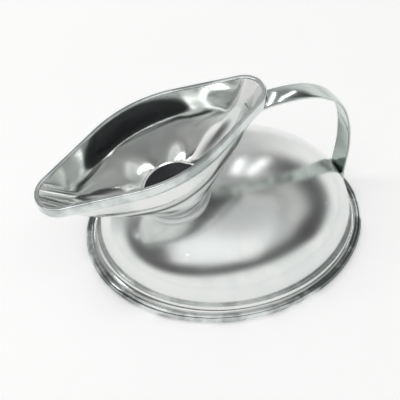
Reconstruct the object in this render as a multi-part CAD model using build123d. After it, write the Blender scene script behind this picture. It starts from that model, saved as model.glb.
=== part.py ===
from build123d import *
import math
import os

# A female-pattern bedpan in polished stainless steel: a low oval bowl with a closed base,
# a short throat on its shoulder, a lozenge-shaped mouth funnel, and a flat strap handle.
# Millimetres. Z is up, the floor is Z = 0, the origin is the centre of the oval foot.
# X runs along the pan, with the handle at +X and the low tip of the mouth at -X.
# Every piece is symmetric about the plane Y = 0.

# ---- driving dimensions ----
sheet = 1.0                     # wall of the bowl, the funnel and the rim band
foot_half_length = 92.0         # outside of the rolled foot rim, along X
foot_half_width = 79.0          # the same along Y
roll_radius = 3.0               # outside radius of the foot rim's roll
roll_sheet = 0.8                # wall of the base pressing
foot_wear = 0.05                # ground off the roll's underside, where it stands
base_clearance = 1.6            # underside of the base above the floor
wall_inset = 8.7                # foot rim's outside to the foot of the bowl's wall
wall_foot_height = 9.0
flange_past_roll = 1.2          # the bowl's flange ends this far outside the roll's centre
bowl_height = 53.0
shoulder_power = 2.25           # a higher power gives the bowl a fuller shoulder
crown_power = 1.8               # 2 would make the crown a true ellipse

throat_x = -39.0                # centre of the throat's upper edge
throat_z = 53.0
throat_tilt = 15.5              # degrees, rising towards +X
throat_bore_radius = 18.5
throat_wall = 1.5
throat_length = 11.0

mouth_x = -55.6                 # centre of the mouth's rim
mouth_z = 98.2
mouth_tilt = 13.9               # degrees, rising towards +X
lozenge_half_length = 102.3     # outside of the rim, to the sharp corner before rounding
lozenge_half_width = 39.5
lozenge_shift = 4.0             # the side corners lie this far towards the handle
tip_radius = 15.0
side_radius = 75.0
rim_land = 2.8                  # width of the rim's flat top
rim_depth = 6.8                 # height of the rim's turned-down band
keel_bulge = 0.3                # how far the funnel's two wings belly out, 0 to 1
flank_bulge = 0.93              # the same for its two long sides
knee_depth = 0.48               # where a bellied side turns in, as a share of the funnel's depth
knee_softness = 0.06            # a larger figure makes a gentler turn

strap_width = 14.5
strap_thickness = 1.6
strap_corner = 4.5              # radius of the corners at the strap's ends
strap_knots = [(7, 100.6), (32, 101), (57, 95.4), (74, 83), (82.5, 65), (85.6, 45), (83.95, 12)]
weld_leg = 2.0

# ---- derived dimensions ----
oval_ratio = foot_half_width / foot_half_length
wall_radius = foot_half_length - wall_inset
roll_centre = (foot_half_length - roll_radius, roll_radius - foot_wear)
flange_top = roll_centre[1] + 1.6
sweep_radius = wall_foot_height - flange_top
sweep_centre = (wall_radius + sweep_radius, wall_foot_height)
flange_edge = roll_centre[0] + flange_past_roll
roll_inner_radius = roll_radius - roll_sheet
roll_start_angle = -163         # where the roll grows out of the flat base, in degrees
roll_lip_angle = 130            # where the roll's lip lands on the flange
neck_radius = throat_bore_radius + throat_wall


def tilted_plane(x, z, tilt):
    """A plane that rises towards +X by the tilt in degrees."""
    lean = math.radians(tilt)
    return Plane(
        origin=(x, 0, z),
        x_dir=(math.cos(lean), 0, math.sin(lean)),
        z_dir=(-math.sin(lean), 0, math.cos(lean)),
    )


throat_plane = tilted_plane(throat_x, throat_z, throat_tilt)
mouth_plane = tilted_plane(mouth_x, mouth_z, mouth_tilt)


def spin(profile):
    """Turn an X-Z profile about the upright axis and squeeze it across into the pan's oval."""
    return scale(revolve(Plane.XZ * profile, Axis.Z), by=(1, oval_ratio, 1))


def on_circle(centre, radius, angle):
    turn = math.radians(angle)
    return (centre[0] + radius * math.cos(turn), centre[1] + radius * math.sin(turn))


# ---- bowl ----
def bowl_side(radius, height, steps=12):
    """The bowl's wall as one curve, upright at its foot and level at the crown."""
    points = []
    for step in range(steps + 1):
        rise = math.sin(math.pi / 2 * step / steps)
        reach = (1 - rise**shoulder_power) ** (1 / crown_power)
        points.append((radius * reach, wall_foot_height + (height - wall_foot_height) * rise))
    return Spline(points, tangents=[(0, 1), (-1, 0)])


def bowl_envelope(lift=0.0):
    """Everything inside the bowl's outer face, raised by lift."""
    side = bowl_side(wall_radius, bowl_height)
    close = Polyline((0, bowl_height), (0, 0), (wall_radius, 0), (wall_radius, wall_foot_height))
    return Pos(0, 0, lift) * spin(make_face(side + close))


def throat_plug(radius, top, bottom):
    """A round plug on the throat's line, between two heights from the throat's upper edge."""
    bottom_up = (Align.CENTER, Align.CENTER, Align.MIN)
    return throat_plane * Pos(0, 0, bottom) * Cylinder(radius, top - bottom, align=bottom_up)


def bowl_dome():
    """Drawn bowl, with the flange at its foot that the base's rolled edge traps."""
    flange_bottom = flange_top - sheet
    outline = [
        bowl_side(wall_radius, bowl_height),
        Line((0, bowl_height), (0, bowl_height - sheet)),
        bowl_side(wall_radius - sheet, bowl_height - sheet),
        CenterArc(sweep_centre, sweep_radius + sheet, 180, 90),
        Polyline(
            (sweep_centre[0], flange_bottom),
            (flange_edge, flange_bottom),
            (flange_edge, flange_top),
            (sweep_centre[0], flange_top),
        ),
        CenterArc(sweep_centre, sweep_radius, 180, 90),
    ]
    shell = spin(make_face(outline))
    return shell - throat_plug(neck_radius, throat_length, -2 * throat_length)


def seam_section():
    """Section of the filler that seals the roll over the flange, wiped to a fillet outside."""
    toe_angle = 242
    edge_angle = math.degrees(math.acos(flange_past_roll / roll_inner_radius))
    outline = [
        CenterArc(sweep_centre, sweep_radius, toe_angle, 270 - toe_angle),
        Polyline(
            on_circle(sweep_centre, sweep_radius, 270),
            (flange_edge, flange_top),
            on_circle(roll_centre, roll_inner_radius, edge_angle),
        ),
        CenterArc(roll_centre, roll_inner_radius, edge_angle, roll_lip_angle - edge_angle),
        Polyline(
            on_circle(roll_centre, roll_inner_radius, roll_lip_angle),
            on_circle(roll_centre, roll_radius, roll_lip_angle),
            on_circle(sweep_centre, sweep_radius, toe_angle),
        ),
    ]
    return make_face(outline)


def base_pan():
    """Flat base whose edge is rolled up and over the bowl's flange and sealed; it stands on the roll."""
    sector = roll_lip_angle - roll_start_angle
    outline = [
        CenterArc(roll_centre, roll_radius, roll_start_angle, sector),
        CenterArc(roll_centre, roll_inner_radius, roll_start_angle, sector),
    ]
    for angle in (roll_start_angle, roll_lip_angle):
        outer_end = on_circle(roll_centre, roll_radius, angle)
        outline.append(Line(outer_end, on_circle(roll_centre, roll_inner_radius, angle)))
    roll = make_face(outline)
    floor_edge = roll_centre[0] - roll_inner_radius - roll_sheet / 4
    floor = Pos(0, base_clearance) * Rectangle(floor_edge, roll_sheet, align=(Align.MIN, Align.MIN))
    ground = 3 * foot_half_length
    below_floor = Box(ground, ground, roll_radius, align=(Align.CENTER, Align.CENTER, Align.MAX))
    return spin(floor + roll + seam_section()) - below_floor


# ---- throat ----
def throat_neck():
    """Short tube that joins the funnel to the bowl; its upper edge stands just proud."""
    proud = 0.8
    return throat_plug(neck_radius, proud, -throat_length) - throat_plug(
        throat_bore_radius, throat_length, -2 * throat_length
    )


def neck_to_bowl_weld():
    """Fillet of weld round the neck, lying on the bowl."""
    collar = throat_plug(neck_radius + weld_leg, 0, -2 * throat_length)
    collar -= throat_plug(neck_radius, throat_length, -3 * throat_length)
    return (collar & bowl_envelope(weld_leg)) - bowl_envelope()


# ---- mouth ----
def lozenge_quarter(shift, inset, count):
    """
    Even points round a quarter of the rim, from its +X tip to its widest place.
    inset moves the line inwards; the corner arcs keep their centres.
    """
    near = lozenge_half_length - shift
    far = lozenge_half_length + shift
    near_edge = math.hypot(near, lozenge_half_width)
    far_edge = math.hypot(far, lozenge_half_width)
    facing = math.atan2(near, lozenge_half_width)
    tip = (lozenge_half_length - tip_radius * near_edge / lozenge_half_width, 0)
    drop = side_radius * (near_edge + far_edge) / (near + far)
    side = (
        shift - (side_radius * near_edge - near * drop) / lozenge_half_width,
        lozenge_half_width - drop,
    )
    tip_reach = tip_radius - inset
    side_reach = side_radius - inset
    tip_arc = tip_reach * facing
    side_arc = side_reach * (math.pi / 2 - facing)
    start = Vector(on_circle(tip, tip_reach, math.degrees(facing)))
    end = Vector(on_circle(side, side_reach, math.degrees(facing)))
    straight = (end - start).length
    points = []
    for step in range(count + 1):
        along = (tip_arc + straight + side_arc) * step / count
        if along < tip_arc:
            place = on_circle(tip, tip_reach, math.degrees(along / tip_reach))
        elif along < tip_arc + straight:
            place = start + (end - start) * ((along - tip_arc) / straight)
        else:
            turned = facing + (along - tip_arc - straight) / side_reach
            place = on_circle(side, side_reach, math.degrees(turned))
        points.append(tuple(place)[:2])
    return points


def lozenge(inset, count=8):
    """Points all the way round the rim's outline, four quarters of count steps each."""
    right = lozenge_quarter(lozenge_shift, inset, count)
    left = [(-x, y) for x, y in lozenge_quarter(-lozenge_shift, inset, count)]
    upper = right + left[-2::-1]
    lower = [(x, -y) for x, y in upper[-2:0:-1]]
    return upper + lower


def knee(part):
    """Nearly zero above the knee and rising steadily below it."""
    return knee_softness * math.log(1 + math.exp((part - knee_depth) / knee_softness))


def belly(part):
    """How far a fully bellied side has turned in at a share of the funnel's depth, 0 to 1."""
    return (knee(part) - knee(0)) / (knee(1) - knee(0))


def funnel_sections(rim_inset, throat_radius, overshoot, steps=10):
    """Closed curves from the rim's lozenge down to the throat's circle, with bellied sides."""
    rim_points = lozenge(rim_inset)
    throat_centre = mouth_plane.to_local_coords(Vector(throat_x, 0, throat_z))
    depth = -throat_centre.Z
    sections = []
    for step in range(steps + 1):
        fall = step / steps
        points = []
        for number, (x, y) in enumerate(rim_points):
            turn = 2 * math.pi * number / len(rim_points)
            bulge = keel_bulge * math.cos(turn) ** 2 + flank_bulge * math.sin(turn) ** 2
            blend = (1 - bulge) * fall + bulge * belly(fall)
            round_x = throat_centre.X + throat_radius * math.cos(turn)
            round_y = throat_radius * math.sin(turn)
            points.append((x + (round_x - x) * blend, y + (round_y - y) * blend))
        tilt = mouth_tilt + (throat_tilt - mouth_tilt) * fall
        level = sheet + (depth - sheet + overshoot) * fall
        middle = mouth_plane.from_local_coords(Vector(0, 0, -level))
        sections.append(tilted_plane(middle.X, middle.Z, tilt) * Spline(points, periodic=True))
    return sections


def funnel_body(rim_inset, throat_radius, overshoot):
    wires = [Wire(section) for section in funnel_sections(rim_inset, throat_radius, overshoot)]
    return Solid.make_loft(wires)


def funnel_envelope():
    """Everything inside the funnel's outer face."""
    return funnel_body(rim_land - sheet, neck_radius + sheet, sheet)


def mouth_funnel():
    """Pressed funnel from the lozenge mouth down to the round throat."""
    throat_overlap = 0.4        # the neck's bore is cut this much wider than the funnel's hollow
    hollow = funnel_body(rim_land, neck_radius - throat_overlap, 0)
    return funnel_envelope() - hollow - throat_plug(neck_radius, throat_length, -throat_length)


def neck_to_funnel_weld():
    """Ring of weld under the funnel, where it meets the neck."""
    ring = throat_plug(neck_radius + weld_leg, 0, -weld_leg - sheet)
    ring -= throat_plug(neck_radius, throat_length, -throat_length)
    return ring - funnel_envelope()


def rim_outline(inset):
    corners = [
        (lozenge_half_length, 0),
        (lozenge_shift, lozenge_half_width),
        (-lozenge_half_length, 0),
        (lozenge_shift, -lozenge_half_width),
    ]
    face = make_face(Polyline(*corners, close=True))
    by_reach = face.vertices().sort_by(lambda corner: abs(corner.X))
    face = fillet(by_reach[:2], side_radius)
    tips = face.vertices().sort_by(lambda corner: abs(corner.X))[-2:]
    face = fillet(tips, tip_radius)
    if inset > 0:
        face = offset(face, -inset)
    return face


def mouth_rim():
    """Band round the mouth: a narrow flat top, turned down on the outside."""
    edge_radius = 0.45 * sheet
    band = extrude(rim_outline(0), -rim_depth)
    band = fillet(band.edges().group_by(Axis.Z)[-1], edge_radius)
    band -= Pos(0, 0, -sheet) * extrude(rim_outline(sheet), -rim_depth)
    band -= Pos(0, 0, sheet) * extrude(rim_outline(rim_land), -2 * rim_depth)
    return mouth_plane * band


# ---- handle ----
def handle_line():
    """The strap's middle line in X and Z, from under the mouth's high tip to the bowl's wall."""
    return Plane.XZ * Spline(strap_knots, tangents=[(1, 0.05), (-0.03, -1)])


def handle_strap():
    """Flat strap bent into an open arch."""
    line = handle_line()
    start = Plane(origin=line @ 0, x_dir=(0, 1, 0), z_dir=line % 0)
    strap = sweep(start * Rectangle(strap_width, strap_thickness), path=line)
    corners = strap.edges().filter_by(lambda edge: edge.length < 1.1 * strap_thickness)
    strap = fillet(corners, strap_corner)
    return strap - funnel_envelope() - bowl_envelope()


def handle_top_weld():
    """Fillets of weld above and below the strap, where it meets the funnel's keel."""
    free_line = (handle_line() - funnel_envelope()).edges().sort_by(Axis.X)[0]
    seat = (free_line @ 0) if (free_line @ 0).X < (free_line @ 1).X else (free_line @ 1)
    bead = Cylinder(weld_leg, strap_width - 2 * strap_corner, rotation=(90, 0, 0))
    return Pos(seat.X, 0, seat.Z) * bead - funnel_envelope() - handle_strap()


def handle_foot_weld():
    """Fillets of weld down both edges and under the end of the strap, on the bowl's wall."""
    foot = handle_line() @ 1
    seam_height = 7.0
    side_bead = Cylinder(weld_leg, seam_height, align=(Align.CENTER, Align.CENTER, Align.MIN))
    end_bead = Cylinder(weld_leg, strap_width, rotation=(90, 0, 0))
    beads = Pos(foot.X - strap_thickness / 2, 0, foot.Z) * end_bead
    for side in (-1, 1):
        beads += Pos(foot.X - strap_thickness / 2, side * strap_width / 2, foot.Z) * side_bead
    return beads - bowl_envelope() - handle_strap()


parts = {
    "bowl_dome": bowl_dome,
    "base_pan": base_pan,
    "throat_neck": throat_neck,
    "neck_to_bowl_weld": neck_to_bowl_weld,
    "mouth_funnel": mouth_funnel,
    "neck_to_funnel_weld": neck_to_funnel_weld,
    "mouth_rim": mouth_rim,
    "handle_strap": handle_strap,
    "handle_top_weld": handle_top_weld,
    "handle_foot_weld": handle_foot_weld,
}

os.makedirs("parts", exist_ok=True)
for name, make in parts.items():
    export_step(make(), f"parts/{name}.step")
    print(name)
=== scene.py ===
import bpy
import bmesh
import math
from mathutils import Matrix, Vector


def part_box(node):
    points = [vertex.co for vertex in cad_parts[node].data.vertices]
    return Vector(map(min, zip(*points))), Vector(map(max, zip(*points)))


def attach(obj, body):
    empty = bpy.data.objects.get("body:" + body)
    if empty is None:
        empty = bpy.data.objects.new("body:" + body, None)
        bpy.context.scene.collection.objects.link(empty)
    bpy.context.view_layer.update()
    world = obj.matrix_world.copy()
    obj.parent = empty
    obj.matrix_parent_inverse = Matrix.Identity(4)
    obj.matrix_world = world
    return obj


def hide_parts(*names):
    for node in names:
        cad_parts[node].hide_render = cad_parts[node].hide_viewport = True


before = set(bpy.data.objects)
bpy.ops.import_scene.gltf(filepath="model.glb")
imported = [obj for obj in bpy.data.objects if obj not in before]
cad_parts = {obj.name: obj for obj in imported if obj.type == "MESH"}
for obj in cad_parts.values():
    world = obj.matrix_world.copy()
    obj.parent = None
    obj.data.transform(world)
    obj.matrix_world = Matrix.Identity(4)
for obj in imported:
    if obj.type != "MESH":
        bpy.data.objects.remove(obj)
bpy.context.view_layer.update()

# The pan in metres, in the row's frame: X runs from the mouth's low tip to the handle,
# Z is up and the floor is Z = 0. Everything is symmetric about the plane Y = 0.

# ---- sizes ----
MM = 0.001
foot_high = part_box("base_pan")[1]
FOOT_HALF_LENGTH = foot_high[0]
OVAL_RATIO = foot_high[1] / foot_high[0]
BOWL_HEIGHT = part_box("bowl_dome")[1][2]
SHEET = 1.0 * MM
ROLL_SHEET = 0.8 * MM
HAIR = 0.05 * MM                # pieces that meet overlap by this much

ROLL_RADIUS = 3.0 * MM
FOOT_WEAR = 0.05 * MM
ROLL_CENTRE = (FOOT_HALF_LENGTH - ROLL_RADIUS, ROLL_RADIUS - FOOT_WEAR)
ROLL_LIP_ANGLE = 130            # where the roll's lip lands on the flange, in degrees
BASE_CLEARANCE = 1.6 * MM       # underside of the base above the floor
BASE_EDGE = 84.0 * MM           # radius where the flat base turns into the roll
WALL_INSET = 8.7 * MM           # foot rim's outside to the foot of the bowl's wall
WALL_RADIUS = FOOT_HALF_LENGTH - WALL_INSET
WALL_FOOT = 9.0 * MM
SHOULDER_POWER = 2.25           # a higher power gives the bowl a fuller shoulder
CROWN_POWER = 1.8               # 2 would make the crown a true ellipse
FLANGE_OVER_ROLL = 1.6 * MM     # the flange's top above the roll's centre
FLANGE_TOP = ROLL_CENTRE[1] + FLANGE_OVER_ROLL
FLANGE_PAST_ROLL = 1.2 * MM     # the flange ends this far outside the roll's centre
SWEEP_RADIUS = WALL_FOOT - FLANGE_TOP
SWEEP_CENTRE = (WALL_RADIUS + SWEEP_RADIUS, WALL_FOOT)

THROAT_POINT = Vector((-39.0 * MM, 0, 53.0 * MM))
THROAT_TILT = math.radians(15.5)
THROAT_BORE = 18.5 * MM
THROAT_LENGTH = 11.0 * MM
NECK_RADIUS = 20.0 * MM

MOUTH_POINT = Vector((-55.6 * MM, 0, 98.2 * MM))
MOUTH_TILT = math.radians(13.9)
LOZENGE_LENGTH = 102.3 * MM     # half of the rim, to the sharp corner before rounding
LOZENGE_WIDTH = 39.5 * MM       # the same across
LOZENGE_SHIFT = 4.0 * MM        # the side corners lie this far towards the handle
TIP_RADIUS = 15.0 * MM
SIDE_RADIUS = 75.0 * MM
RIM_LAND = 2.8 * MM             # width of the rim's flat top
RIM_DEPTH = 6.8 * MM            # height of the rim's turned-down band
KEEL_BULGE = 0.3                # how far the funnel's two wings belly out, 0 to 1
FLANK_BULGE = 0.93              # the same for its two long sides
KNEE_DEPTH = 0.48               # where a bellied side turns in, as a share of the depth
KNEE_SOFTNESS = 0.06            # a larger figure makes a gentler turn

STRAP_WIDTH = 14.5 * MM
STRAP_THICKNESS = 1.6 * MM
STRAP_CORNER = 4.5 * MM         # radius of the corners at the strap's ends
WELD_LEG = 2.0 * MM

ROUND_STEPS = 256


# ---- geometry helpers ----
def tilted(point, tilt, along, across, up):
    """A place given along, across and above a plane that rises towards +X by tilt."""
    ahead = Vector((math.cos(tilt), 0, math.sin(tilt)))
    above = Vector((-math.sin(tilt), 0, math.cos(tilt)))
    return point + ahead * along + Vector((0, across, 0)) + above * up


def arc(centre, radius, start, stop, steps):
    """Points on a circle between two angles in degrees, both ends included."""
    points = []
    for step in range(steps + 1):
        angle = math.radians(start + (stop - start) * step / steps)
        points.append((centre[0] + radius * math.cos(angle), centre[1] + radius * math.sin(angle)))
    return points


def finish_mesh(name, mesh_builder, crease=35):
    """Turns a bmesh into a piece of the pan, smooth except over sharp corners."""
    bmesh.ops.remove_doubles(mesh_builder, verts=mesh_builder.verts, dist=1e-7)
    bmesh.ops.recalc_face_normals(mesh_builder, faces=mesh_builder.faces)
    mesh = bpy.data.meshes.new(name)
    mesh_builder.to_mesh(mesh)
    mesh_builder.free()
    for polygon in mesh.polygons:
        polygon.use_smooth = True
    mesh.set_sharp_from_angle(angle=math.radians(crease))
    piece = bpy.data.objects.new(name, mesh)
    bpy.context.scene.collection.objects.link(piece)
    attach(piece, "root")
    return piece


def skin(name, rings, closed_tube=True, crease=35):
    """
    Skins closed rings of points, one after another. A closed tube joins the last ring to the
    first; otherwise a ring of one point closes an end, and any other end gets a flat face.
    """
    builder = bmesh.new()
    rows = [[builder.verts.new(point) for point in ring] for ring in rings]
    pairs = list(zip(rows, rows[1:]))
    if closed_tube:
        pairs.append((rows[-1], rows[0]))
    for lower, upper in pairs:
        count = max(len(lower), len(upper))
        for number in range(count):
            following = (number + 1) % count
            if len(lower) == 1:
                corners = (lower[0], upper[number], upper[following])
            elif len(upper) == 1:
                corners = (lower[number], lower[following], upper[0])
            else:
                corners = (lower[number], lower[following], upper[following], upper[number])
            builder.faces.new(corners)
    if not closed_tube:
        for ring in (rows[0], rows[-1]):
            if len(ring) > 2:
                builder.faces.new(ring)
    return finish_mesh(name, builder, crease)


def finish_inside(piece, outside, inside, is_inside):
    """Gives a piece two finishes, by a test on each face's middle and the way that it faces."""
    piece.data.materials.append(outside)
    piece.data.materials.append(inside)
    for polygon in piece.data.polygons:
        polygon.material_index = int(is_inside(polygon.center, polygon.normal))


def spun_rings(profile, steps=ROUND_STEPS):
    """Rings of a profile of radius and height, turned about Z and squeezed into the oval."""
    rings = []
    for radius, height in profile:
        if radius < 1e-9:
            rings.append([Vector((0, 0, height))])
            continue
        ring = []
        for step in range(steps):
            turn = 2 * math.pi * step / steps
            ring.append(Vector((radius * math.cos(turn), radius * OVAL_RATIO * math.sin(turn), height)))
        rings.append(ring)
    return rings


def bore_through(piece, radius):
    """Cuts the round throat opening out of a piece, along the throat's line."""
    builder = bmesh.new()
    bmesh.ops.create_cone(builder, cap_ends=True, segments=ROUND_STEPS,
                          radius1=radius, radius2=radius, depth=60 * MM)
    drill_mesh = bpy.data.meshes.new("drill")
    builder.to_mesh(drill_mesh)
    builder.free()
    drill = bpy.data.objects.new("drill", drill_mesh)
    drill.matrix_world = Matrix.Translation(THROAT_POINT) @ Matrix.Rotation(-THROAT_TILT, 4, "Y")
    bpy.context.scene.collection.objects.link(drill)
    cut = piece.modifiers.new("throat", "BOOLEAN")
    cut.object = drill
    cut.operation = "DIFFERENCE"
    cut.solver = "EXACT"
    bpy.context.view_layer.update()
    ready = piece.evaluated_get(bpy.context.evaluated_depsgraph_get())
    bored = bpy.data.meshes.new_from_object(ready)
    piece.modifiers.clear()
    piece.data = bored
    bpy.data.objects.remove(drill)
    bpy.data.meshes.remove(drill_mesh)


# ---- bowl and base ----
def bowl_side(radius, height, steps=72):
    """The bowl's wall from its foot to the middle of the crown."""
    points = []
    for step in range(steps + 1):
        rise = math.sin(math.pi / 2 * step / steps)
        reach = max(1 - rise**SHOULDER_POWER, 0) ** (1 / CROWN_POWER)
        points.append((radius * reach, WALL_FOOT + (height - WALL_FOOT) * rise))
    return points


def bowl_dome():
    """Domed bowl with a small sweep into the flange at its foot, open under the throat."""
    flange_edge = ROLL_CENTRE[0] + FLANGE_PAST_ROLL
    outer = bowl_side(WALL_RADIUS, BOWL_HEIGHT)[::-1]
    outer += arc(SWEEP_CENTRE, SWEEP_RADIUS, 180, 270, 16)[1:]
    flange = [(flange_edge, FLANGE_TOP), (flange_edge, FLANGE_TOP - SHEET)]
    inner = arc(SWEEP_CENTRE, SWEEP_RADIUS + SHEET, 270, 180, 16)
    inner += bowl_side(WALL_RADIUS - SHEET, BOWL_HEIGHT - SHEET)[1:]
    dome = skin("dome_shell", spun_rings(outer + flange + inner), closed_tube=False)
    bore_through(dome, NECK_RADIUS - HAIR)
    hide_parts("bowl_dome")
    return dome


def roll_wander(turn):
    """How far the rolled rim rises and falls at an angle round the foot, as rolling leaves it."""
    waves = [(0.05, 13, 0), (0.04, 31, 1.3), (0.03, 57, 0.4)]
    return MM * sum(height * math.sin(count * turn + start) for height, count, start in waves)


def base_pan():
    """Flat base whose edge is rolled up; the rolled rim wanders a little, except where it stands."""
    plate_top = BASE_CLEARANCE + ROLL_SHEET
    middle_ring = 40 * MM
    # the angles at which the roll's two faces leave the flat base
    outer_start, inner_start = -153, -166
    outer = [(0, BASE_CLEARANCE), (middle_ring, BASE_CLEARANCE), (BASE_EDGE, BASE_CLEARANCE)]
    outer += arc(ROLL_CENTRE, ROLL_RADIUS, outer_start, ROLL_LIP_ANGLE, 40)
    inner = arc(ROLL_CENTRE, ROLL_RADIUS - ROLL_SHEET, ROLL_LIP_ANGLE, inner_start, 40)
    inner += [(BASE_EDGE, plate_top), (middle_ring, plate_top), (0, plate_top)]
    standing_height = 0.6 * MM
    rings = spun_rings(outer + inner)
    for ring in rings:
        for number, place in enumerate(ring):
            turn = 2 * math.pi * number / len(ring)
            past_wall = math.hypot(place.x, place.y / OVAL_RATIO) - (ROLL_CENTRE[0] - ROLL_RADIUS)
            if past_wall > 0 and place.z > standing_height:
                place.z += roll_wander(turn) * min(past_wall / ROLL_RADIUS, 1)
    base = skin("base_shell", rings, closed_tube=False)
    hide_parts("base_pan")
    return base


def base_seam():
    """Filler that seals the roll's lip to the bowl, a little hollow between the two."""
    hollow = 0.08 * MM
    lip = arc(ROLL_CENTRE, ROLL_RADIUS, ROLL_LIP_ANGLE, ROLL_LIP_ANGLE, 1)[0]
    lip_under = arc(ROLL_CENTRE, ROLL_RADIUS - ROLL_SHEET, ROLL_LIP_ANGLE, ROLL_LIP_ANGLE, 1)[0]
    under = arc(SWEEP_CENTRE, SWEEP_RADIUS + HAIR, 242, 268, 8)
    toe = under[0]
    middle = ((toe[0] + lip[0]) / 2, (toe[1] + lip[1]) / 2 - hollow)
    profile = under + [lip_under, lip, middle]
    seam = skin("base_seam", spun_rings(profile))
    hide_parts("base_pan")
    return seam


# ---- throat ----
def bowl_level(along, across):
    """Distance below the throat's plane at which a line along the throat meets the bowl."""
    low, high = 0.0, 60 * MM
    for _ in range(40):
        middle = (low + high) / 2
        place = tilted(THROAT_POINT, THROAT_TILT, along, across, -middle)
        reach = math.hypot(place.x, place.y / OVAL_RATIO) / WALL_RADIUS
        rise = max(place.z - WALL_FOOT, 0) / (BOWL_HEIGHT - WALL_FOOT)
        if reach**CROWN_POWER + rise**SHOULDER_POWER > 1:
            low = middle
        else:
            high = middle
    return low


def throat_neck():
    """Short tube with an eased upper edge, which stands a little proud inside the funnel."""
    edge = 0.25 * MM
    top = 0.8 * MM
    section = [
        (THROAT_BORE, -THROAT_LENGTH), (THROAT_BORE, top - edge), (THROAT_BORE + edge, top),
        (NECK_RADIUS - edge, top), (NECK_RADIUS, top - edge), (NECK_RADIUS, -THROAT_LENGTH),
    ]
    rings = []
    for radius, up in section:
        ring = []
        for step in range(ROUND_STEPS):
            turn = 2 * math.pi * step / ROUND_STEPS
            along, across = radius * math.cos(turn), radius * math.sin(turn)
            ring.append(tilted(THROAT_POINT, THROAT_TILT, along, across, up))
        rings.append(ring)
    neck = skin("throat_tube", rings)
    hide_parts("throat_neck")
    return neck


def funnel_foot(radius, wide):
    """Level of the funnel's underside along the throat's line."""
    return -SHEET


def bowl_foot(radius, wide):
    """Level of the bowl's outside along the throat's line; wide is the way out from the line."""
    return -bowl_level(radius * wide[0], radius * wide[1])


def neck_weld(name, node, foot_level, upward):
    """
    Ring of weld in the corner between the neck and a sheet; ripples run round it. foot_level
    gives the sheet's level at a radius and a way out from the throat's line.
    """
    ripples = 150
    steps = ripples * 4
    ripple_height = 0.07 * MM
    in_neck = -0.2 * MM
    in_sheet = -0.4 * MM
    hollow = 0.105 * WELD_LEG
    squareness = 1.4
    rings = [[] for _ in range(8)]
    for step in range(steps):
        turn = 2 * math.pi * step / steps
        leg = WELD_LEG + ripple_height * math.sin(turn * ripples)
        wide = (math.cos(turn), math.sin(turn))
        corner = foot_level(NECK_RADIUS, wide)
        section = [(in_neck, in_sheet), (in_neck, WELD_LEG * 0.92)]
        for part in range(5):
            angle = math.pi / 2 * part / 4
            dip = hollow * math.sin(2 * angle)
            out = leg * math.sin(angle) ** squareness - dip
            rise = leg * math.cos(angle) ** squareness - dip
            section.append((out, rise))
        section.append((WELD_LEG, in_sheet))
        for ring, (out, rise) in zip(rings, section):
            radius = NECK_RADIUS + out
            level = foot_level(radius, wide) if rise < WELD_LEG * 0.5 else corner
            along, across = radius * wide[0], radius * wide[1]
            ring.append(tilted(THROAT_POINT, THROAT_TILT, along, across, level + upward * rise))
    weld = skin(name, rings, crease=80)
    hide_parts(node)
    return weld


# ---- mouth ----
def lozenge_quarter(shift, inset, count):
    """
    Even points round a quarter of the rim, from its +X tip to its widest place. inset moves each
    one inwards, square to the rim, so the corner arcs keep their centres.
    """
    near = LOZENGE_LENGTH - shift
    far = LOZENGE_LENGTH + shift
    near_edge = math.hypot(near, LOZENGE_WIDTH)
    far_edge = math.hypot(far, LOZENGE_WIDTH)
    facing = math.atan2(near, LOZENGE_WIDTH)
    tip = LOZENGE_LENGTH - TIP_RADIUS * near_edge / LOZENGE_WIDTH
    drop = SIDE_RADIUS * (near_edge + far_edge) / (near + far)
    side = (shift - (SIDE_RADIUS * near_edge - near * drop) / LOZENGE_WIDTH, LOZENGE_WIDTH - drop)
    tip_arc = TIP_RADIUS * facing
    side_arc = SIDE_RADIUS * (math.pi / 2 - facing)
    start = Vector((tip + TIP_RADIUS * math.cos(facing), TIP_RADIUS * math.sin(facing)))
    end = Vector((side[0] + SIDE_RADIUS * math.cos(facing), side[1] + SIDE_RADIUS * math.sin(facing)))
    straight = (end - start).length
    points = []
    for step in range(count + 1):
        along = (tip_arc + straight + side_arc) * step / count
        if along < tip_arc:
            turn = along / TIP_RADIUS
            place = Vector((tip, 0)) + TIP_RADIUS * Vector((math.cos(turn), math.sin(turn)))
        elif along < tip_arc + straight:
            turn = facing
            place = start.lerp(end, (along - tip_arc) / straight)
        else:
            turn = facing + (along - tip_arc - straight) / SIDE_RADIUS
            place = Vector(side) + SIDE_RADIUS * Vector((math.cos(turn), math.sin(turn)))
        points.append(place - inset * Vector((math.cos(turn), math.sin(turn))))
    return points


def lozenge(inset, count=64):
    """Points all the way round the rim, four quarters of count steps each."""
    right = lozenge_quarter(LOZENGE_SHIFT, inset, count)
    left = [Vector((-p.x, p.y)) for p in lozenge_quarter(-LOZENGE_SHIFT, inset, count)]
    upper = right + left[-2::-1]
    lower = [Vector((p.x, -p.y)) for p in upper[-2:0:-1]]
    return upper + lower


def knee(part):
    """Nearly zero above the knee and rising steadily below it."""
    return KNEE_SOFTNESS * math.log(1 + math.exp((part - KNEE_DEPTH) / KNEE_SOFTNESS))


def belly(part):
    """How far a fully bellied side has turned in at a share of the funnel's depth, 0 to 1."""
    return (knee(part) - knee(0)) / (knee(1) - knee(0))


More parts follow.
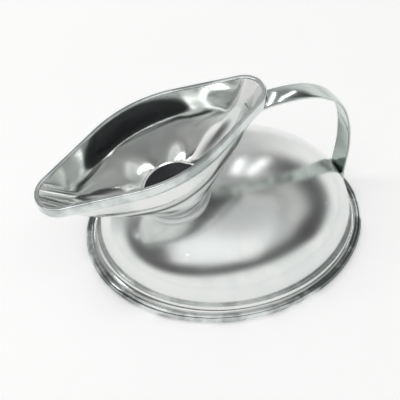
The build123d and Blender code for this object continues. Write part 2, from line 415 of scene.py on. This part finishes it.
def funnel_rings(rim_inset, throat_radius, overshoot, steps=48):
    """Rings from the rim's lozenge down to the throat's circle, with bellied sides."""
    rim_points = lozenge(rim_inset)
    offset = THROAT_POINT - MOUTH_POINT
    ahead = Vector((math.cos(MOUTH_TILT), 0, math.sin(MOUTH_TILT)))
    above = Vector((-math.sin(MOUTH_TILT), 0, math.cos(MOUTH_TILT)))
    throat_along = offset.dot(ahead)
    depth = -offset.dot(above)
    rings = []
    for step in range(steps + 1):
        fall = step / steps
        tilt = MOUTH_TILT + (THROAT_TILT - MOUTH_TILT) * fall
        level = SHEET + (depth - SHEET + overshoot) * fall
        middle = MOUTH_POINT - above * level
        ring = []
        for number, point in enumerate(rim_points):
            turn = 2 * math.pi * number / len(rim_points)
            bulge = KEEL_BULGE * math.cos(turn) ** 2 + FLANK_BULGE * math.sin(turn) ** 2
            blend = (1 - bulge) * fall + bulge * belly(fall)
            round_along = throat_along + throat_radius * math.cos(turn)
            round_across = throat_radius * math.sin(turn)
            along = point.x + (round_along - point.x) * blend
            across = point.y + (round_across - point.y) * blend
            ring.append(tilted(middle, tilt, along, across, 0))
        rings.append(ring)
    return rings


def mouth_funnel():
    """Pressed funnel from the rim's lozenge to the throat's circle, one sheet thick."""
    inner = funnel_rings(RIM_LAND, NECK_RADIUS, 0)
    outer = funnel_rings(RIM_LAND - SHEET, NECK_RADIUS + SHEET, SHEET)
    funnel = skin("funnel_shell", inner + outer[::-1], crease=50)
    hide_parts("mouth_funnel")
    return funnel


def mouth_rim():
    """Rolled top with a turned-down band; the section is given as inset and height."""
    inner_edge = 0.35 * MM
    outer_edge = 0.9 * MM
    bottom = -RIM_DEPTH
    section = [(RIM_LAND, -SHEET)]
    section += arc((RIM_LAND - inner_edge, -inner_edge), inner_edge, 0, 90, 2)
    section += arc((outer_edge, -outer_edge), outer_edge, 90, 180, 6)
    section += [(0, bottom + 0.4 * MM), (0.12 * MM, bottom + 0.1 * MM), (SHEET / 2, bottom)]
    section += [(SHEET - 0.12 * MM, bottom + 0.1 * MM), (SHEET, bottom + 0.4 * MM), (SHEET, -SHEET)]
    rings = []
    for inset, up in section:
        rings.append([tilted(MOUTH_POINT, MOUTH_TILT, p.x, p.y, up) for p in lozenge(inset, 96)])
    rim = skin("rim_band", rings, crease=60)
    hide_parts("mouth_rim")
    return rim


# ---- handle ----
def spline_points(knots, start_way, end_way, steps):
    """A smooth curve through the knots, with the way it leaves the first and reaches the last."""
    lengths = [(after - before).length for before, after in zip(knots, knots[1:])]
    ways = [Vector(start_way)]
    for number in range(1, len(knots) - 1):
        before = (knots[number] - knots[number - 1]) / lengths[number - 1]
        after = (knots[number + 1] - knots[number]) / lengths[number]
        share = lengths[number - 1] / (lengths[number - 1] + lengths[number])
        ways.append(before.lerp(after, share))
    ways.append(Vector(end_way))
    points = []
    for number, length in enumerate(lengths):
        for step in range(steps):
            part = step / steps
            points.append(
                knots[number] * (2 * part**3 - 3 * part**2 + 1)
                + ways[number] * length * (part**3 - 2 * part**2 + part)
                + knots[number + 1] * (3 * part**2 - 2 * part**3)
                + ways[number + 1] * length * (part**3 - part**2)
            )
    points.append(knots[-1])
    return points


def strap_section(half, thick):
    """The strip's section, as across and up: two faces joined by eased edges."""
    edge = 0.5 * MM
    steps = 16
    flat = half - edge
    section = []
    for step in range(steps + 1):
        section.append(((2 * step / steps - 1) * flat, thick))
    for angle in (60, 30, 0, -30, -60):
        turn = math.radians(angle)
        section.append((flat + edge * math.cos(turn), thick * math.sin(turn)))
    for step in range(steps + 1):
        section.append(((1 - 2 * step / steps) * flat, -thick))
    for angle in (-60, -30, 0, 30, 60):
        turn = math.radians(angle)
        section.append((-flat - edge * math.cos(turn), thick * math.sin(turn)))
    return section


def handle_strap():
    """Flat strip with eased edges, crowned a little across and round-cornered at its ends."""
    knots = [(9.5, 100.7), (32, 101), (57, 95.4), (74, 83), (82.5, 65), (85.6, 45), (83.95, 12)]
    line = spline_points([Vector((x * MM, z * MM)) for x, z in knots], (1, 0.05), (-0.03, -1), 24)
    travelled = [0.0]
    for before, after in zip(line, line[1:]):
        travelled.append(travelled[-1] + (after - before).length)
    total = travelled[-1]
    crown = 0.5 * MM
    lift = 0.2 * MM
    fade_length = 20 * MM
    thick = STRAP_THICKNESS / 2 - 0.1 * MM
    rings = []
    for number, place in enumerate(line):
        way = (line[min(number + 1, len(line) - 1)] - line[max(number - 1, 0)]).normalized()
        outward = Vector((-way.y, way.x))
        from_end = min(travelled[number], total - travelled[number])
        from_centre = STRAP_CORNER - min(from_end, STRAP_CORNER)
        cut = STRAP_CORNER - math.sqrt(max(STRAP_CORNER**2 - from_centre**2, 0))
        fade = min(from_end, fade_length) / fade_length
        ring = []
        for across, up in strap_section(STRAP_WIDTH / 2 - cut, thick):
            fall = crown * (across / (STRAP_WIDTH / 2)) ** 2
            spot = place + outward * (up + fade * (lift - fall))
            ring.append(Vector((spot.x, across, spot.y)))
        rings.append(ring)
    strap = skin("grip_strap", rings, closed_tube=False, crease=50)
    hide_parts("handle_strap")
    return strap


# ---- welds on the strap ----
def weld_bead(name, node, corners, radius):
    """A rippled bead of weld along straight runs in a plane of equal X, thin at both ends."""
    spacing = 0.3 * MM
    path = [corners[0]]
    for before, after in zip(corners, corners[1:]):
        count = max(1, round((after - before).length / spacing))
        path += [before.lerp(after, (step + 1) / count) for step in range(count)]
    last = len(path) - 1
    side = Vector((1, 0, 0))
    rings = [[path[0]]]
    for number in range(1, last):
        way = (path[number + 1] - path[number - 1]).normalized()
        across = way.cross(side)
        taper = min(1, 0.5 + 0.125 * min(number, last - number))
        swell = radius * taper * (1 + 0.08 * math.sin(number * math.pi / 2))
        ring = []
        for step in range(16):
            turn = 2 * math.pi * step / 16
            ring.append(path[number] + swell * (math.cos(turn) * side + math.sin(turn) * across))
        rings.append(ring)
    rings.append([path[-1]])
    bead = skin(name, rings, closed_tube=False, crease=80)
    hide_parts(node)
    return bead


def handle_foot_bead():
    """Weld down both edges and under the end of the strap."""
    low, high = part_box("handle_foot_weld")
    wide = STRAP_WIDTH / 2
    bottom = low[2] + WELD_LEG
    ease = 1.2 * MM
    sunk = 0.1 * MM
    corner = (wide - ease * 0.3, bottom + ease * 0.3)
    half = [(wide, high[2]), (wide, bottom + ease), corner, (wide - ease, bottom)]
    outline = half + [(-y, z) for y, z in half[::-1]]
    corners = [Vector((WALL_RADIUS - sunk, y, z)) for y, z in outline]
    return weld_bead("strap_foot_bead", "handle_foot_weld", corners, 0.75 * WELD_LEG)


def handle_top_beads():
    """Weld above and below the strap, on the funnel's keel."""
    low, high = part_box("handle_top_weld")
    middle = (Vector(low) + Vector(high)) / 2
    past_corner = 0.8 * MM
    to_bead = Vector((0.35, 0, 1.15)) * MM
    half = Vector((0, (STRAP_WIDTH - 2 * STRAP_CORNER) / 2 + past_corner, 0))
    beads = []
    for name, side in (("strap_top_bead", 1), ("strap_under_bead", -1)):
        place = middle + side * to_bead
        ends = [place - half, place + half]
        beads.append(weld_bead(name, "handle_top_weld", ends, 0.5 * WELD_LEG))
    return beads


# ---- materials ----
def polished(name, colour, roughness, brush_scale, wear, wear_and_shade_dimming=0.06):
    """
    Polished stainless steel: faint polishing lines, cloudy darker patches and soft waviness.
    The last argument is how much darker the patches are, as a share of the colour: a small share gives
    handling marks, a large one paints in shade and dark reflections.
    """
    material = bpy.data.materials.new(name)
    material.use_nodes = True
    nodes, links = material.node_tree.nodes, material.node_tree.links
    shader = nodes["Principled BSDF"]
    shader.inputs["Metallic"].default_value = 1.0
    place = nodes.new("ShaderNodeTexCoord")

    cloud = nodes.new("ShaderNodeTexNoise")
    cloud.inputs["Scale"].default_value = 38
    cloud.inputs["Detail"].default_value = 5
    links.new(place.outputs["Object"], cloud.inputs["Vector"])

    # cloudy patches darken the colour: handling marks where the share is small, painted shade and dark
    # reflections where it is large
    tint = nodes.new("ShaderNodeMix")
    tint.data_type = "RGBA"
    tint.inputs["A"].default_value = (*colour, 1)
    worn_and_shaded_colour = [level * (1 - wear_and_shade_dimming) for level in colour]
    tint.inputs["B"].default_value = (worn_and_shaded_colour[0] * 0.985, worn_and_shaded_colour[1] * 1.01, worn_and_shaded_colour[2] * 1.005, 1)
    edge = nodes.new("ShaderNodeMapRange")
    edge.inputs["From Min"].default_value = 0.44
    edge.inputs["From Max"].default_value = 0.58
    links.new(cloud.outputs["Fac"], edge.inputs["Value"])
    links.new(edge.outputs["Result"], tint.inputs["Factor"])
    links.new(tint.outputs["Result"], shader.inputs["Base Color"])

    stretch = nodes.new("ShaderNodeMapping")
    stretch.inputs["Scale"].default_value = (1, 1, 14)
    links.new(place.outputs["Object"], stretch.inputs["Vector"])
    brush = nodes.new("ShaderNodeTexNoise")
    brush.inputs["Scale"].default_value = brush_scale
    brush.inputs["Detail"].default_value = 3
    links.new(stretch.outputs["Vector"], brush.inputs["Vector"])

    spread = nodes.new("ShaderNodeMapRange")
    spread.inputs["From Min"].default_value = 0.35
    spread.inputs["From Max"].default_value = 0.75
    spread.inputs["To Min"].default_value = roughness
    spread.inputs["To Max"].default_value = roughness + wear
    links.new(cloud.outputs["Fac"], spread.inputs["Value"])
    links.new(spread.outputs["Result"], shader.inputs["Roughness"])

    wave = nodes.new("ShaderNodeTexNoise")
    wave.inputs["Scale"].default_value = 22
    wave.inputs["Detail"].default_value = 1
    links.new(place.outputs["Object"], wave.inputs["Vector"])
    soft = nodes.new("ShaderNodeBump")
    soft.inputs["Strength"].default_value = 0.10
    soft.inputs["Distance"].default_value = 0.0002
    links.new(wave.outputs["Fac"], soft.inputs["Height"])
    fine = nodes.new("ShaderNodeBump")
    fine.inputs["Strength"].default_value = 0.09
    fine.inputs["Distance"].default_value = 0.00005
    links.new(brush.outputs["Fac"], fine.inputs["Height"])
    links.new(soft.outputs["Normal"], fine.inputs["Normal"])
    links.new(fine.outputs["Normal"], shader.inputs["Normal"])
    return material


def plain_floor():
    """Matt near-white that glows a little, so that the floor stays pale in the steel too."""
    material = bpy.data.materials.new("pale_floor")
    material.use_nodes = True
    shader = material.node_tree.nodes["Principled BSDF"]
    shader.inputs["Base Color"].default_value = (0.97, 0.97, 0.965, 1)
    shader.inputs["Roughness"].default_value = 0.9
    shader.inputs["Specular IOR Level"].default_value = 0.2
    shader.inputs["Emission Color"].default_value = (1, 1, 1, 1)
    shader.inputs["Emission Strength"].default_value = 0.31
    return material


# ---- stage ----
def lay_floor():
    """Wide pale floor, a hair below the height that the pan stands at."""
    reach = 4.0
    below = 0.1 * MM
    corners = [(-reach, -reach, 0), (reach, -reach, 0), (reach, reach, 0), (-reach, reach, 0)]
    floor_mesh = bpy.data.meshes.new("floor")
    floor_mesh.from_pydata(corners, [], [(0, 1, 2, 3)])
    floor_mesh.materials.append(plain_floor())
    floor = bpy.data.objects.new("floor", floor_mesh)
    floor.location.z = -below
    bpy.context.scene.collection.objects.link(floor)


def sky_patch(tree, direction, colour, azimuth, elevation, inner, outer, level):
    """
    Lays a soft round patch of one brightness over a colour of the sky. It is whole out to the
    inner angle and gone at the outer one, in degrees from its middle.
    """
    nodes, links = tree.nodes, tree.links
    turn, lift = math.radians(azimuth), math.radians(elevation)
    flat = math.cos(lift)
    facing = nodes.new("ShaderNodeVectorMath")
    facing.operation = "DOT_PRODUCT"
    facing.inputs[1].default_value = (math.sin(turn) * flat, -math.cos(turn) * flat, math.sin(lift))
    links.new(direction, facing.inputs[0])
    amount = nodes.new("ShaderNodeMapRange")
    amount.interpolation_type = "SMOOTHSTEP"
    amount.inputs["From Min"].default_value = math.cos(math.radians(outer))
    amount.inputs["From Max"].default_value = math.cos(math.radians(inner))
    links.new(facing.outputs["Value"], amount.inputs["Value"])
    blend = nodes.new("ShaderNodeMix")
    blend.data_type = "RGBA"
    blend.inputs["B"].default_value = (level, level, level, 1)
    links.new(amount.outputs["Result"], blend.inputs["Factor"])
    links.new(colour, blend.inputs["A"])
    return blend.outputs["Result"]


def hang_sky():
    """
    The world that the steel reflects: bright at and below the horizon, a dark band half-way up,
    grey overhead, and soft patches that break it up.
    """
    world = bpy.data.worlds.new("studio")
    bpy.context.scene.world = world
    world.use_nodes = True
    nodes, links = world.node_tree.nodes, world.node_tree.links
    place = nodes.new("ShaderNodeTexCoord")
    split = nodes.new("ShaderNodeSeparateXYZ")
    links.new(place.outputs["Generated"], split.inputs["Vector"])
    ramp = nodes.new("ShaderNodeValToRGB")
    ramp.color_ramp.interpolation = "EASE"
    # height of the direction (0 is the horizon, 1 is overhead) and brightness there
    stops = [(0.0, 0.31), (0.44, 0.31), (0.61, 0.02), (0.71, 0.03), (0.84, 0.20), (0.96, 0.16), (1.0, 0.10)]
    while len(ramp.color_ramp.elements) < len(stops):
        ramp.color_ramp.elements.new(0.5)
    for element, (lift, level) in zip(ramp.color_ramp.elements, stops):
        element.position = lift
        element.color = (level, level * 1.004, level * 0.996, 1)

    # the dark band hangs lower towards both ends of the pan, so that its reflection follows the oval
    band_sink = 0.25
    sideways = nodes.new("ShaderNodeMath")
    sideways.operation = "MULTIPLY"
    links.new(split.outputs["X"], sideways.inputs[0])
    links.new(split.outputs["X"], sideways.inputs[1])
    height = nodes.new("ShaderNodeMath")
    height.operation = "MULTIPLY_ADD"
    height.inputs[1].default_value = band_sink
    links.new(sideways.outputs["Value"], height.inputs[0])
    links.new(split.outputs["Z"], height.inputs[2])
    links.new(height.outputs["Value"], ramp.inputs["Fac"])

    # each patch: azimuth, elevation, inner and outer angle, brightness
    patches = [
        (-35, 68, 6, 26, 0.22),
        (-95, 42, 4, 24, 0.04),
        (64, 31, 3, 17, 0.02),
        (180, 16, 15, 55, 0.16),
        (120, 72, 6, 30, 0.05),
    ]
    sky = ramp.outputs["Color"]
    for patch in patches:
        sky = sky_patch(world.node_tree, place.outputs["Generated"], sky, *patch)
    background = nodes["Background"]
    background.inputs["Strength"].default_value = 3.1
    links.new(sky, background.inputs["Color"])


def hang_lamps():
    """One large box overhead, and small lamps that only show as highlights in the steel."""
    soft_box("overhead_box", (-0.1, -0.2, 1.5), (1.9, 1.9), 5.0)
    # two strips sparkle in the funnel, and two narrow ones make the stripes on the strap
    soft_box("window_strip", (-0.55, 0.25, 0.75), (0.10, 0.5), 0.7)
    soft_box("window_strip_2", (-0.38, 0.25, 0.85), (0.05, 0.5), 0.35)
    soft_box("strap_strip", (0.42, 0.55, 0.70), (0.03, 0.30), 0.12)
    soft_box("strap_strip_2", (0.54, 0.49, 0.66), (0.03, 0.30), 0.12)
    # stands for the light that the polished inside passes on from wall to wall
    soft_box("inside_glow", (0, 0, 0.036), (0.10, 0.08), 0.007, Vector((0, 0, 0)))


def soft_box(name, place, size, power, aim=Vector((0, 0, 0.05))):
    """A soft rectangular lamp that faces the middle of the pan, or another point; power in watts."""
    lamp = bpy.data.lights.new(name, "AREA")
    lamp.shape = "RECTANGLE"
    lamp.size, lamp.size_y = size
    lamp.energy = power
    box = bpy.data.objects.new(name, lamp)
    box.location = place
    box.rotation_euler = (aim - Vector(place)).to_track_quat("-Z", "Y").to_euler()
    bpy.context.scene.collection.objects.link(box)


def camera():
    """The view: from the low tip's side, 45 degrees up."""
    azimuth = math.radians(-31.5)
    elevation = math.radians(45.2)
    roll = math.radians(4)
    distance = 0.8
    target = Vector((0, 0, 0.040))
    back = Vector((math.sin(azimuth) * math.cos(elevation), -math.cos(azimuth) * math.cos(elevation),
                   math.sin(elevation)))
    right = Vector((math.cos(azimuth), math.sin(azimuth), 0))
    up = back.cross(right)
    rolled_right = math.cos(roll) * right + math.sin(roll) * up
    rolled_up = -math.sin(roll) * right + math.cos(roll) * up
    data = bpy.data.cameras.new("camera")
    data.sensor_width = 36
    data.lens = 114.4
    data.shift_x = -0.071
    data.shift_y = -0.0438
    cam = bpy.data.objects.new("camera", data)
    turn = Matrix((rolled_right, rolled_up, back)).transposed()
    cam.matrix_world = Matrix.Translation(target + back * distance) @ turn.to_4x4()
    bpy.context.scene.collection.objects.link(cam)
    bpy.context.scene.camera = cam


mirror_steel = polished("mirror_steel", (0.82, 0.825, 0.815), 0.06, 900, 0.05, 0.12)
satin_steel = polished("satin_steel", (0.82, 0.83, 0.82), 0.19, 700, 0.05)
# painted shade: a darker colour, and cloudy patches darkened to near black, stand in for the dark
# reflections of the shade beside the pan
roll_steel_painted_dark = polished("roll_steel_painted_dark", (0.72, 0.75, 0.74), 0.08, 900, 0.06, 0.78)
# painted shade: a darker colour and darkened cloudy patches stand in for the dark reflections along the
# rim's turned-down band
rim_steel_painted_dark = polished("rim_steel_painted_dark", (0.74, 0.78, 0.77), 0.08, 900, 0.06, 0.42)
strap_steel = polished("strap_steel", (0.64, 0.69, 0.665), 0.09, 600, 0.05, 0.16)
weld_metal = polished("weld_metal", (0.66, 0.67, 0.67), 0.26, 1500, 0.12)
inside_steel = polished("inside_steel", (0.46, 0.465, 0.48), 0.40, 400, 0.15)


def faces_bowl_inside(middle, normal):
    """True on the dome's inner faces; the drop in the test takes in the faces of its crown."""
    inwards = -(normal.x * middle.x + normal.y * middle.y) - normal.z * 30 * MM
    return inwards > 0 and middle.z < BOWL_HEIGHT - 0.5 * MM


def faces_base_inside(middle, normal):
    """True on the upper face of the base, inside the bowl's wall."""
    return normal.z > 0.9 and math.hypot(middle.x, middle.y / OVAL_RATIO) < WALL_RADIUS


def faces_bore(middle, normal):
    """True on the faces that look at the throat's line, below the neck's upper edge."""
    offset = middle - THROAT_POINT
    ahead = Vector((math.cos(THROAT_TILT), 0, math.sin(THROAT_TILT)))
    along = offset.dot(ahead)
    below = offset.dot(Vector((-math.sin(THROAT_TILT), 0, math.cos(THROAT_TILT)))) < 0.3 * MM
    return below and normal.dot(ahead) * along + normal.y * middle.y < 0


finish_inside(bowl_dome(), satin_steel, inside_steel, faces_bowl_inside)
finish_inside(base_pan(), roll_steel_painted_dark, inside_steel, faces_base_inside)
finish_inside(throat_neck(), mirror_steel, inside_steel, faces_bore)
mouth_funnel().data.materials.append(mirror_steel)
mouth_rim().data.materials.append(rim_steel_painted_dark)
base_seam().data.materials.append(satin_steel)
welds = [
    neck_weld("bowl_weld_ring", "neck_to_bowl_weld", bowl_foot, 1),
    neck_weld("funnel_weld_ring", "neck_to_funnel_weld", funnel_foot, -1),
    handle_foot_bead(),
]
for piece in welds + handle_top_beads():
    piece.data.materials.append(weld_metal)
handle_strap().data.materials.append(strap_steel)

lay_floor()
hang_sky()
hang_lamps()
camera()
bpy.context.scene.view_settings.view_transform = "Standard"
